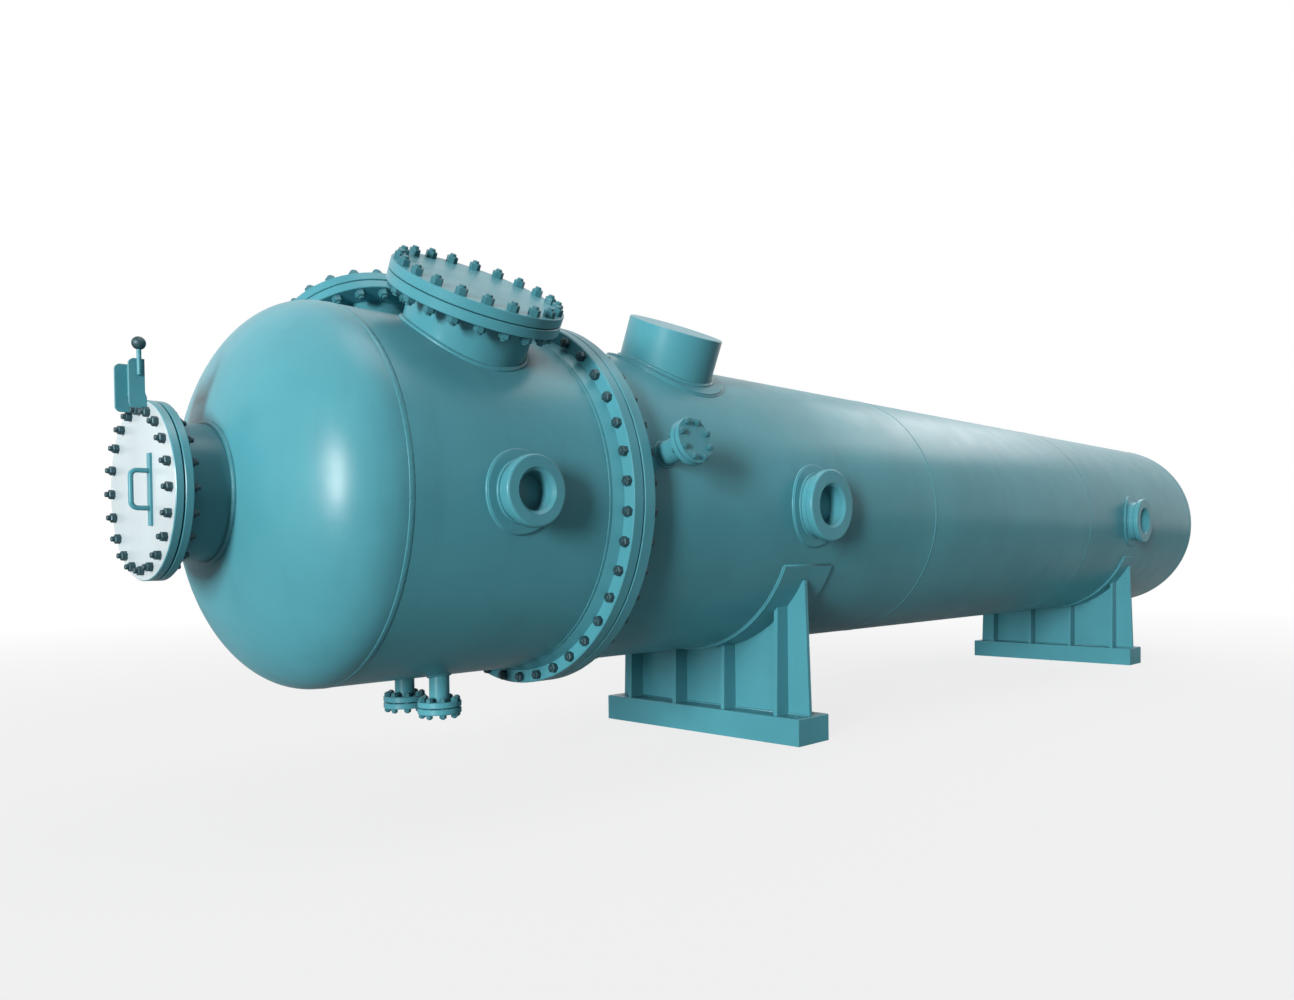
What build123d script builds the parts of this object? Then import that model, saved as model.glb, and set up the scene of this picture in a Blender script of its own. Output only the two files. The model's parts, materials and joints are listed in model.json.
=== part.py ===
from build123d import *
from math import cos, radians, sin, sqrt
import os

os.makedirs("parts", exist_ok=True)

# Horizontal feedwater heater. X runs along the vessel from the water box to the tail, Z is up.
# The origin is on the ground under the middle of the front saddle. Lengths in millimetres.

# Layout along the vessel, measured from the gasket of the girth joint
joint_to_front_saddle = 1400
saddle_spacing = 5000
joint_to_channel_seam = 1100
joint_to_tail_seam = 7860
channel_branch_station = 585
drain_station = 580
channel_trunnion_station = 607
steam_station = 725
side_station = 240
tail_trunnion_station = 6250
axis_height = 1310

# Pressure walls
shell_radius = 800
shell_wall = 16
channel_wall = 20
head_depth_share = 0.52
head_skirt = 25
weld_gap = 0.3
overrun = 60

# Girth joint
girth_flange_rise = 82
girth_flange_thickness = 62
girth_hub_length = 58
girth_hub_rise = 20
girth_edge_chamfer = 5
gasket_thickness = 4
gasket_width = 34
tube_sheet_thickness = 68

# Manway on the channel head
manway_neck_radius = 265
manway_neck_wall = 14
manway_flange_radius = 335
manway_flange_thickness = 30
manway_cover_thickness = 30
manway_projection = 204
manway_raised_radius = 288
raised_face = 4
flange_edge_chamfer = 3

# Handle and davit on the manway cover
handle_offset = 100
handle_strip_height = 264
handle_strip_width = 30
handle_strip_thickness = 8
handle_grip_height = 136
handle_grip_reach = 68
handle_bar_radius = 9
handle_bend_radius = 22
davit_lap = 39
davit_height = 178
davit_inner_width = 136
davit_cheek_thickness = 12
davit_cheek_depth = 59
davit_cheek_round = 20
davit_back_offset = 6
davit_back_height = 120
davit_rod_radius = 8
davit_rod_offset = 27
davit_rod_lap = 60
davit_rod_height = 54
davit_knob_radius = 24

# Water nozzles on the channel
water_lean_angle = 30
water_neck_radius = 268
water_neck_wall = 16
water_flange_radius = 368
water_flange_thickness = 42
water_cover_thickness = 42
water_raised_radius = 310
water_rise = 217

# Drains under the channel
drain_offset = 145
drain_neck_radius = 44.5
drain_neck_wall = 6
drain_flange_radius = 96
drain_flange_thickness = 26
drain_raised_radius = 62
drain_rise = 155

# Steam inlet stub on the shell
steam_lean_angle = 23
steam_neck_radius = 250
steam_neck_wall = 14
steam_rise = 208
steam_cap_thickness = 16
steam_pad_radius = 318
pad_thickness = 12

# Side nozzle on the shell
side_lean_angle = 75
side_neck_radius = 57
side_neck_wall = 7
side_flange_radius = 110
side_flange_thickness = 24
side_raised_radius = 79
side_rise = 200

# Lifting trunnions: small ones on the channel, large ones on the shell
channel_trunnion_pad_radius = 168
channel_trunnion_ring_radius = 146
channel_trunnion_bore_radius = 80
shell_trunnion_pad_radius = 222
shell_trunnion_ring_radius = 195
shell_trunnion_bore_radius = 108
trunnion_rise = 104
trunnion_lip = 24
trunnion_ring_thickness = 46
trunnion_round = 12
trunnion_bevel = 14

# Saddles
saddle_horn_angle = 60
wear_plate_angle = 66
wear_plate_width = 430
wear_plate_thickness = 14
base_inset = 70
base_width = 276
base_height = 150
base_edge_chamfer = 4
web_thickness = 24
web_horn_width = 12
rib_thickness = 26
rib_depth = 104
rib_top_depth = 78
rib_end_inset = 159
anchor_row = 150
anchor_end_inset = 75
anchor_hole_radius = 18
anchor_slot_length = 84

quarter_turn = 90
half_turn = 180
half_share = 1 / 2
third_share = 1 / 3

joint_x = -joint_to_front_saddle
vessel_axis = Axis((0, 0, axis_height), (1, 0, 0))
profile_plane = Plane(origin=(0, 0, axis_height), x_dir=(1, 0, 0), z_dir=(0, -1, 0))
head_depth = shell_radius * head_depth_share
girth_flange_radius = shell_radius + girth_flange_rise
channel_bore = shell_radius - channel_wall
shell_bore = shell_radius - shell_wall
gasket_half = gasket_thickness * half_share
wear_seat = shell_radius + weld_gap
wear_back = wear_seat + wear_plate_thickness
pad_seat = shell_radius + weld_gap
pad_back = pad_seat + pad_thickness


def cross_plane(x):
    # Plane across the vessel: local x is Y, local y is Z, centred on the vessel axis
    return Plane(origin=(x, 0, axis_height), x_dir=(0, 1, 0), z_dir=(1, 0, 0))


def branch_plane(x, lean, reach):
    # Plane square to a branch that leans from straight up towards the near side
    away = (0, -sin(radians(lean)), cos(radians(lean)))
    spot = (x, reach * away[1], axis_height + reach * away[2])
    return Plane(origin=spot, x_dir=(1, 0, 0), z_dir=away)


def drain_plane(side, reach):
    spot = (joint_x - drain_station, side * drain_offset, axis_height - reach)
    return Plane(origin=spot, x_dir=(1, 0, 0), z_dir=(0, 0, -1))


def ring(plane, outer, inner):
    with BuildSketch(plane) as face:
        Circle(outer)
        Circle(inner, mode=Mode.SUBTRACT)
    return face.sketch


def disc(plane, radius):
    with BuildSketch(plane) as face:
        Circle(radius)
    return face.sketch


def wide_rims(builder, radius):
    # Round edges of about the given radius or more
    rims = builder.edges().filter_by(GeomType.CIRCLE)
    return rims.filter_by(lambda e: e.radius > radius - weld_gap)


def finish(builder, label):
    builder.part.label = label
    export_step(builder.part, "parts/" + label + ".step")


def head_profile(tangent_x, seam_x, wall, first_angle):
    # Half section of a dished head: an elliptical crown and a short straight skirt up to the weld seam
    middle = (tangent_x, 0)
    with BuildSketch(profile_plane) as section:
        with BuildLine():
            for skin in (0, wall):
                EllipticalCenterArc(
                    middle,
                    head_depth - skin,
                    shell_radius - skin,
                    start_angle=first_angle,
                    arc_size=quarter_turn,
                )
            Line((seam_x, shell_radius - wall), (seam_x, shell_radius))
            Line((tangent_x, shell_radius), (seam_x, shell_radius))
            Line((tangent_x, shell_radius - wall), (seam_x, shell_radius - wall))
            tip = tangent_x + (head_depth if seam_x < tangent_x else -head_depth)
            pit = tip + (-wall if seam_x < tangent_x else wall)
            Line((tip, 0), (pit, 0))
        make_face()
    return section.sketch


# Channel: the water box at the near end
channel_seam_x = joint_x - joint_to_channel_seam
channel_tangent_x = channel_seam_x - head_skirt
girth_hub_back_x = joint_x - gasket_half - girth_flange_thickness - girth_hub_length
manway_face_x = channel_tangent_x - head_depth - manway_projection
neck_share = (manway_neck_radius / channel_bore) ** 2
manway_root_x = channel_tangent_x - (head_depth - channel_wall) * sqrt(1 - neck_share)
manway_root_plane = Plane(origin=(manway_root_x, 0, axis_height), x_dir=(0, 1, 0), z_dir=(-1, 0, 0))

with BuildPart() as channel_head:
    add(head_profile(channel_tangent_x, channel_seam_x, channel_wall, quarter_turn))
    revolve(axis=vessel_axis)
    extrude(disc(manway_root_plane, manway_neck_radius + weld_gap), amount=head_depth, mode=Mode.SUBTRACT)
    extrude(disc(manway_root_plane, manway_neck_radius + weld_gap), amount=-overrun, mode=Mode.SUBTRACT)
finish(channel_head, "channel_head")

channel_branch_x = joint_x - channel_branch_station

with BuildPart() as channel_barrel:
    extrude(
        ring(cross_plane(channel_seam_x), shell_radius, channel_bore),
        amount=girth_hub_back_x - channel_seam_x,
    )
    for lean in (water_lean_angle, -water_lean_angle):
        hole = disc(branch_plane(channel_branch_x, lean, 0), water_neck_radius + weld_gap)
        extrude(hole, amount=shell_radius + overrun, mode=Mode.SUBTRACT)
    for side in (-1, 1):
        hole = disc(drain_plane(side, 0), drain_neck_radius + weld_gap)
        extrude(hole, amount=shell_radius + overrun, mode=Mode.SUBTRACT)
finish(channel_barrel, "channel_barrel")

# Girth joint: hubbed flange, gasket and the tube sheet that carries on out as the mating flange
flange_front_x = joint_x - gasket_half
flange_back_x = flange_front_x - girth_flange_thickness
sheet_front_x = joint_x + gasket_half
sheet_back_x = sheet_front_x + tube_sheet_thickness
sheet_hub_x = sheet_back_x + girth_hub_length
hub_root = shell_radius + girth_hub_rise

with BuildPart() as channel_flange:
    with BuildSketch(profile_plane):
        with BuildLine():
            Polyline(
                (flange_front_x, channel_bore),
                (flange_front_x, girth_flange_radius - girth_edge_chamfer),
                (flange_front_x - girth_edge_chamfer, girth_flange_radius),
                (flange_back_x + girth_edge_chamfer, girth_flange_radius),
                (flange_back_x, girth_flange_radius - girth_edge_chamfer),
                (flange_back_x, hub_root),
                (girth_hub_back_x, shell_radius),
                (girth_hub_back_x, channel_bore),
                close=True,
            )
        make_face()
    revolve(axis=vessel_axis)
finish(channel_flange, "channel_flange")

with BuildPart() as girth_gasket:
    sheet = ring(cross_plane(flange_front_x), channel_bore + gasket_width, channel_bore)
    extrude(sheet, amount=gasket_thickness)
finish(girth_gasket, "girth_gasket")

with BuildPart() as tube_sheet:
    with BuildSketch(profile_plane):
        with BuildLine():
            Polyline(
                (sheet_front_x, 0),
                (sheet_front_x, girth_flange_radius - girth_edge_chamfer),
                (sheet_front_x + girth_edge_chamfer, girth_flange_radius),
                (sheet_back_x - girth_edge_chamfer, girth_flange_radius),
                (sheet_back_x, girth_flange_radius - girth_edge_chamfer),
                (sheet_back_x, hub_root),
                (sheet_hub_x, shell_radius),
                (sheet_hub_x, shell_bore),
                (sheet_back_x, shell_bore),
                (sheet_back_x, 0),
                close=True,
            )
        make_face()
    revolve(axis=vessel_axis)
finish(tube_sheet, "tube_sheet")

# Shell: three rolled courses and a dished tail head
tail_seam_x = joint_x + joint_to_tail_seam
tail_tangent_x = tail_seam_x + head_skirt
course_count = 3
course_length = (tail_seam_x - sheet_hub_x) / course_count
steam_x = joint_x + steam_station
side_x = joint_x + side_station

with BuildPart() as front_course:
    extrude(ring(cross_plane(sheet_hub_x), shell_radius, shell_bore), amount=course_length)
    hole = disc(branch_plane(steam_x, steam_lean_angle, 0), steam_neck_radius + weld_gap)
    extrude(hole, amount=shell_radius + overrun, mode=Mode.SUBTRACT)
    hole = disc(branch_plane(side_x, side_lean_angle, 0), side_neck_radius + weld_gap)
    extrude(hole, amount=shell_radius + overrun, mode=Mode.SUBTRACT)
finish(front_course, "shell_course_front")

with BuildPart() as middle_course:
    extrude(ring(cross_plane(sheet_hub_x + course_length), shell_radius, shell_bore), amount=course_length)
finish(middle_course, "shell_course_middle")

with BuildPart() as rear_course:
    extrude(ring(cross_plane(tail_seam_x - course_length), shell_radius, shell_bore), amount=course_length)
finish(rear_course, "shell_course_rear")

with BuildPart() as tail_head:
    add(head_profile(tail_tangent_x, tail_seam_x, shell_wall, 0))
    revolve(axis=vessel_axis)
finish(tail_head, "tail_head")


# Branches: a set-in neck cut to the inside of the wall, a flange with a raised face and a blind cover
def flanged_neck(root_plane, bore, neck_radius, neck_wall, flange_plane, flange_radius, thickness, raised):
    station = root_plane.origin.X
    neck_bore = neck_radius - neck_wall
    with BuildPart() as neck:
        reach = abs((flange_plane.origin - root_plane.origin).dot(root_plane.z_dir))
        extrude(ring(root_plane, neck_radius, neck_bore), amount=reach + thickness)
        inside = disc(cross_plane(station - neck_radius - overrun), bore)
        extrude(inside, amount=neck_radius + neck_radius + overrun + overrun, mode=Mode.SUBTRACT)
        extrude(ring(flange_plane, flange_radius, neck_radius), amount=thickness)
        chamfer(wide_rims(neck, flange_radius), length=flange_edge_chamfer)
        extrude(ring(flange_plane.offset(thickness), raised, neck_bore), amount=raised_face)
    return neck


def blind_cover(seat_plane, radius, thickness):
    with BuildPart() as cover:
        extrude(disc(seat_plane, radius), amount=thickness)
        chamfer(cover.edges().filter_by(GeomType.CIRCLE), length=flange_edge_chamfer)
    return cover


water_seat = shell_radius + water_rise - water_cover_thickness
water_back = water_seat - raised_face - water_flange_thickness
for side_name, lean in (("near", water_lean_angle), ("far", -water_lean_angle)):
    nozzle = flanged_neck(
        branch_plane(channel_branch_x, lean, 0),
        channel_bore,
        water_neck_radius,
        water_neck_wall,
        branch_plane(channel_branch_x, lean, water_back),
        water_flange_radius,
        water_flange_thickness,
        water_raised_radius,
    )
    finish(nozzle, "water_nozzle_" + side_name)
    cover = blind_cover(
        branch_plane(channel_branch_x, lean, water_seat), water_flange_radius, water_cover_thickness
    )
    finish(cover, "water_cover_" + side_name)

drain_seat = shell_radius + drain_rise - drain_flange_thickness
drain_back = drain_seat - raised_face - drain_flange_thickness
for side_name, side in (("near", -1), ("far", 1)):
    nozzle = flanged_neck(
        drain_plane(side, 0),
        channel_bore,
        drain_neck_radius,
        drain_neck_wall,
        drain_plane(side, drain_back),
        drain_flange_radius,
        drain_flange_thickness,
        drain_raised_radius,
    )
    finish(nozzle, "drain_nozzle_" + side_name)
    cover = blind_cover(drain_plane(side, drain_seat), drain_flange_radius, drain_flange_thickness)
    finish(cover, "drain_cover_" + side_name)

side_seat = shell_radius + side_rise - side_flange_thickness
side_back = side_seat - raised_face - side_flange_thickness
side_nozzle = flanged_neck(
    branch_plane(side_x, side_lean_angle, 0),
    shell_bore,
    side_neck_radius,
    side_neck_wall,
    branch_plane(side_x, side_lean_angle, side_back),
    side_flange_radius,
    side_flange_thickness,
    side_raised_radius,
)
finish(side_nozzle, "side_nozzle")
side_seat_plane = branch_plane(side_x, side_lean_angle, side_seat)
side_cover = blind_cover(side_seat_plane, side_flange_radius, side_flange_thickness)
finish(side_cover, "side_cover")

# Steam inlet: a plain stub on a curved reinforcing pad, blanked by a welded cap
with BuildPart() as steam_stub:
    root = branch_plane(steam_x, steam_lean_angle, 0)
    stub_length = shell_radius + steam_rise - steam_cap_thickness
    extrude(ring(root, steam_neck_radius, steam_neck_radius - steam_neck_wall), amount=stub_length)
    inside = disc(cross_plane(steam_x - steam_neck_radius - overrun), shell_bore)
    extrude(inside, amount=steam_neck_radius + steam_neck_radius + overrun + overrun, mode=Mode.SUBTRACT)
finish(steam_stub, "steam_stub")

with BuildPart() as steam_cap:
    cap_plane = branch_plane(steam_x, steam_lean_angle, stub_length)
    extrude(disc(cap_plane, steam_neck_radius), amount=steam_cap_thickness)
    outer_rim = steam_cap.faces().sort_by(Axis.Z)[-1].edges()
    chamfer(outer_rim, length=flange_edge_chamfer)
finish(steam_cap, "steam_cap")

with BuildPart() as steam_pad:
    extrude(
        ring(cross_plane(steam_x - steam_pad_radius - overrun), pad_back, pad_seat),
        amount=steam_pad_radius + steam_pad_radius + overrun + overrun,
    )
    outline = ring(branch_plane(steam_x, steam_lean_angle, 0), steam_pad_radius, steam_neck_radius + weld_gap)
    extrude(outline, amount=pad_back + overrun, mode=Mode.INTERSECT)
finish(steam_pad, "steam_pad")

# Manway: neck and flange, blind cover, handle and davit
manway_seat_x = manway_face_x + manway_cover_thickness
manway_rear_x = manway_seat_x + raised_face + manway_flange_thickness


def manway_plane(x):
    return Plane(origin=(x, 0, axis_height), x_dir=(0, 1, 0), z_dir=(-1, 0, 0))


manway_bore = manway_neck_radius - manway_neck_wall

with BuildPart() as manway_neck:
    neck_ring = ring(manway_root_plane, manway_neck_radius, manway_bore)
    extrude(neck_ring, amount=manway_root_x - manway_seat_x - raised_face)
    flange_ring = ring(manway_plane(manway_rear_x), manway_flange_radius, manway_neck_radius)
    extrude(flange_ring, amount=manway_flange_thickness)
    chamfer(wide_rims(manway_neck, manway_flange_radius), length=flange_edge_chamfer)
    raised_ring = ring(manway_plane(manway_seat_x + raised_face), manway_raised_radius, manway_bore)
    extrude(raised_ring, amount=raised_face)
finish(manway_neck, "manway_neck")

manway_cover = blind_cover(manway_plane(manway_seat_x), manway_flange_radius, manway_cover_thickness)
finish(manway_cover, "manway_cover")

handle_plane = Plane(
    origin=(manway_face_x, -handle_offset, axis_height), x_dir=(-1, 0, 0), z_dir=(0, 1, 0)
)
grip_half = handle_grip_height * half_share

with BuildPart() as manway_handle:
    strip_plane = Plane(
        origin=(manway_face_x, -handle_offset, axis_height), x_dir=(0, 1, 0), z_dir=(-1, 0, 0)
    )
    with BuildSketch(strip_plane):
        Rectangle(handle_strip_width, handle_strip_height)
    extrude(amount=handle_strip_thickness)
    with BuildLine(handle_plane) as grip_path:
        FilletPolyline(
            (0, grip_half),
            (handle_grip_reach, grip_half),
            (handle_grip_reach, -grip_half),
            (0, -grip_half),
            radius=handle_bend_radius,
        )
    with BuildSketch(Plane(origin=grip_path.line @ 0, z_dir=grip_path.line % 0)):
        Circle(handle_bar_radius)
    sweep(path=grip_path.line)
finish(manway_handle, "manway_handle")

davit_foot_z = axis_height + manway_flange_radius - davit_lap
davit_top_z = davit_foot_z + davit_height
davit_back_z = davit_top_z - davit_back_height
cheek_inner = davit_inner_width * half_share

# The cheeks stand on the cover's face beside the top stud and step back above the cover's rim
with BuildPart() as davit_bracket:
    for inner_y in (-cheek_inner - davit_cheek_thickness, cheek_inner):
        cheek_spot = (manway_face_x, inner_y, davit_foot_z)
        with BuildSketch(Plane(origin=cheek_spot, x_dir=(-1, 0, 0), z_dir=(0, 1, 0))):
            Polygon(
                (0, 0),
                (davit_cheek_depth, 0),
                (davit_cheek_depth, davit_height),
                (davit_back_offset, davit_height),
                (davit_back_offset, davit_height - davit_back_height),
                (0, davit_lap),
                align=None,
            )
        extrude(amount=davit_cheek_thickness)
    corners = davit_bracket.edges().filter_by(Axis.Y).sort_by(Axis.X)[:4]
    fillet(corners, radius=davit_cheek_round)
    back_x = manway_face_x - davit_back_offset
    back_middle = davit_back_z + davit_back_height * half_share
    with BuildSketch(Plane(origin=(back_x, 0, back_middle), x_dir=(0, 1, 0), z_dir=(-1, 0, 0))):
        Rectangle(davit_inner_width, davit_back_height)
    extrude(amount=davit_cheek_thickness)
finish(davit_bracket, "davit_bracket")

# The rod is welded to the near cheek's outer face and ends in the blind hole of a ball knob
rod_x = manway_face_x - davit_rod_offset
rod_y = -cheek_inner - davit_cheek_thickness - weld_gap - davit_rod_radius
rod_foot_z = davit_top_z - davit_rod_lap
knob_z = davit_top_z + davit_rod_height

with BuildPart() as davit_rod:
    with BuildSketch(Plane(origin=(rod_x, rod_y, rod_foot_z), x_dir=(1, 0, 0), z_dir=(0, 0, 1))):
        Circle(davit_rod_radius)
    extrude(amount=knob_z - weld_gap - rod_foot_z)
finish(davit_rod, "davit_rod")

with BuildPart() as davit_knob:
    with BuildSketch(Plane(origin=(rod_x, rod_y, knob_z), x_dir=(1, 0, 0), z_dir=(0, -1, 0))):
        with BuildLine():
            CenterArc((0, 0), davit_knob_radius, -quarter_turn, half_turn)
            Line((0, -davit_knob_radius), (0, davit_knob_radius))
        make_face()
    revolve(axis=Axis((rod_x, rod_y, knob_z), (0, 0, 1)))
    with BuildSketch(Plane(origin=(rod_x, rod_y, knob_z), x_dir=(1, 0, 0), z_dir=(0, 0, -1))):
        Circle(davit_rod_radius + weld_gap)
    extrude(amount=davit_knob_radius + overrun, mode=Mode.SUBTRACT)
finish(davit_knob, "davit_knob")

# Lifting trunnions, one on each side at three stations: a curved pad, a thick tube and a rounded ring
trunnion_reach = shell_radius + trunnion_rise


def trunnion_pair(place, x, pad_radius, ring_radius, bore_radius):
    with BuildPart() as pads:
        wall = ring(cross_plane(x - pad_radius - overrun), pad_back, pad_seat)
        extrude(wall, amount=pad_radius + pad_radius + overrun + overrun)
        outline = disc(branch_plane(x, quarter_turn, 0), pad_radius)
        extrude(outline, amount=pad_back + overrun, both=True, mode=Mode.INTERSECT)
    finish(pads, "trunnion_pads_" + place)
    tube_radius = ring_radius - trunnion_lip
    with BuildPart() as posts:
        tube = ring(branch_plane(x, quarter_turn, 0), tube_radius, bore_radius)
        extrude(tube, amount=trunnion_reach, both=True)
        seat = disc(cross_plane(x - tube_radius - overrun), pad_back + weld_gap)
        extrude(seat, amount=tube_radius + tube_radius + overrun + overrun, mode=Mode.SUBTRACT)
        for lean in (quarter_turn, -quarter_turn):
            ring_plane = branch_plane(x, lean, trunnion_reach - trunnion_ring_thickness)
            extrude(ring(ring_plane, ring_radius, bore_radius), amount=trunnion_ring_thickness)
        ends = posts.faces().filter_by(Axis.Y).sort_by(Axis.Y)
        mouths = ends[0].edges() + ends[-1].edges()
        chamfer(mouths.filter_by(lambda e: e.radius < tube_radius), length=trunnion_bevel)
        fillet(wide_rims(posts, ring_radius), radius=trunnion_round)
    finish(posts, "trunnion_posts_" + place)


trunnion_pair(
    "channel",
    joint_x - channel_trunnion_station,
    channel_trunnion_pad_radius,
    channel_trunnion_ring_radius,
    channel_trunnion_bore_radius,
)
for place, x in (("front", 0), ("tail", joint_x + tail_trunnion_station)):
    trunnion_pair(
        place, x, shell_trunnion_pad_radius, shell_trunnion_ring_radius, shell_trunnion_bore_radius
    )

# Saddles: base, web with pointed horns, ribs on both faces and a curved wear plate
base_top = base_height - axis_height
horn_y = wear_back * sin(radians(saddle_horn_angle))
horn_z = -wear_back * cos(radians(saddle_horn_angle))
foot_half = wear_back * sin(radians(wear_plate_angle))
base_length = shell_radius + shell_radius - base_inset
anchor_length = base_length - anchor_end_inset - anchor_end_inset
rib_outer_y = foot_half - rib_end_inset
rib_inner_y = rib_outer_y * third_share
far_corner = wear_back + wear_back
plate_y = far_corner * sin(radians(wear_plate_angle))
plate_z = -far_corner * cos(radians(wear_plate_angle))
rib_face = web_thickness * half_share

for place, x in (("front", 0), ("rear", saddle_spacing)):
    with BuildPart() as wear_plate:
        extrude(ring(cross_plane(x), wear_back, wear_seat), amount=wear_plate_width * half_share, both=True)
        with BuildSketch(cross_plane(x)):
            Polygon(
                (0, 0),
                (-plate_y, plate_z),
                (-plate_y, -far_corner),
                (plate_y, -far_corner),
                (plate_y, plate_z),
                align=None,
            )
        extrude(amount=wear_plate_width, both=True, mode=Mode.INTERSECT)
    finish(wear_plate, place + "_wear_plate")

    with BuildPart() as web:
        with BuildSketch(cross_plane(x)):
            Polygon(
                (-foot_half, base_top),
                (foot_half, base_top),
                (horn_y + web_horn_width, horn_z),
                (-horn_y - web_horn_width, horn_z),
                align=None,
            )
            Circle(wear_back + weld_gap, mode=Mode.SUBTRACT)
        extrude(amount=rib_face, both=True)
    finish(web, place + "_web")

    with BuildPart() as ribs:
        for face in (-1, 1):
            for y in (-rib_outer_y, -rib_inner_y, rib_inner_y, rib_outer_y):
                rib_plane = Plane(origin=(x, y, axis_height), x_dir=(1, 0, 0), z_dir=(0, -1, 0))
                with BuildSketch(rib_plane):
                    Polygon(
                        (face * rib_face, base_top),
                        (face * (rib_face + rib_depth), base_top),
                        (face * (rib_face + rib_top_depth), 0),
                        (face * rib_face, 0),
                        align=None,
                    )
                extrude(amount=rib_thickness * half_share, both=True)
        with BuildSketch(cross_plane(x)):
            Circle(wear_back + weld_gap)
        extrude(amount=rib_depth + rib_depth, both=True, mode=Mode.SUBTRACT)
    finish(ribs, place + "_ribs")

    with BuildPart() as base:
        ground_plane = Plane(origin=(x, 0, 0), x_dir=(1, 0, 0), z_dir=(0, 0, 1))
        with BuildSketch(ground_plane):
            Rectangle(base_width, base_length)
        extrude(amount=base_height)
        chamfer(base.faces().sort_by(Axis.Z)[-1].edges(), length=base_edge_chamfer)
        with BuildSketch(ground_plane):
            with GridLocations(anchor_row, anchor_length, 2, 2):
                if place == "front":
                    Circle(anchor_hole_radius)
                else:
                    SlotOverall(anchor_slot_length, anchor_hole_radius + anchor_hole_radius)
        extrude(amount=base_height, mode=Mode.SUBTRACT)
    finish(base, place + "_base")
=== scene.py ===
import json
from math import atan2, cos, hypot, pi, radians, sin, sqrt

import bmesh
import bpy
from bpy.props import FloatProperty, FloatVectorProperty, IntProperty, PointerProperty
from mathutils import Euler, Matrix, Vector


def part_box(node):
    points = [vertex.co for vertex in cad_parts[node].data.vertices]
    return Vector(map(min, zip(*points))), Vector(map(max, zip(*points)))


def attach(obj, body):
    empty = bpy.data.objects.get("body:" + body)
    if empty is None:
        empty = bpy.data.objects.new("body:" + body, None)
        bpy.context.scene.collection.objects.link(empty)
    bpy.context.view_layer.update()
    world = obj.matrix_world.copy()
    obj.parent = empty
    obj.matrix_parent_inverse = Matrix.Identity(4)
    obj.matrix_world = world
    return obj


bl_info = {
    "name": "Feedwater heater dressing",
    "version": (1, 0, 0),
    "blender": (4, 5, 0),
    "location": "3D View > Sidebar > Heater",
    "description": "Paint, bolting, weld beads and studio for a horizontal feedwater heater",
    "category": "Object",
}

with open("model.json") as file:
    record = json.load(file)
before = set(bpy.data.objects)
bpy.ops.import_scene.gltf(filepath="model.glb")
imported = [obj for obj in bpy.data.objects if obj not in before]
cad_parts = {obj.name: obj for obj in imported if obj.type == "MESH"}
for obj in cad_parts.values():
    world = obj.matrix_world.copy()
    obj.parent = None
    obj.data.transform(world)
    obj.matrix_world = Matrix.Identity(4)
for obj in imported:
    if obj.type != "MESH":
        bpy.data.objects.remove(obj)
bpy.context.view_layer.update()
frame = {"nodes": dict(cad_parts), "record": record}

# The vessel's axis and radius, taken from the middle course of its shell
SHELL_LOW, SHELL_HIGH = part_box("shell_course_middle")
AXIS_Z = (SHELL_LOW.z + SHELL_HIGH.z) / 2
SHELL_R = (SHELL_HIGH.z - SHELL_LOW.z) / 2

# Sides and steps of the round pieces
NUT_SIDES = 6
STUD_SIDES = 12
BEAD_SIDES = 8
SEAM_STEPS = 128
NECK_STEPS = 96
SMALL_NECK_STEPS = 64
DRAIN_STEPS = 48
WEAR_STEPS = 56

# Shares of a nut's width over its flats
STUD_RADIUS = 0.32
NUT_BEVEL = 0.09
STUD_BEVEL = 0.05

# Each nut is turned this much more than the one before it, in degrees
NUT_TURN = 37

# The middle of a fillet bead stands off its neck by this share of the bead's radius
OFF_NECK = 1 / 3

# The colour sockets of a Mix node
MIX_A, MIX_B, MIX_RESULT = 6, 7, 2

# The camera's frame in mm, and the nearest and farthest distance that it sees
SENSOR_WIDTH = 36.0
NEAREST, FARTHEST = 0.05, 300.0


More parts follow.
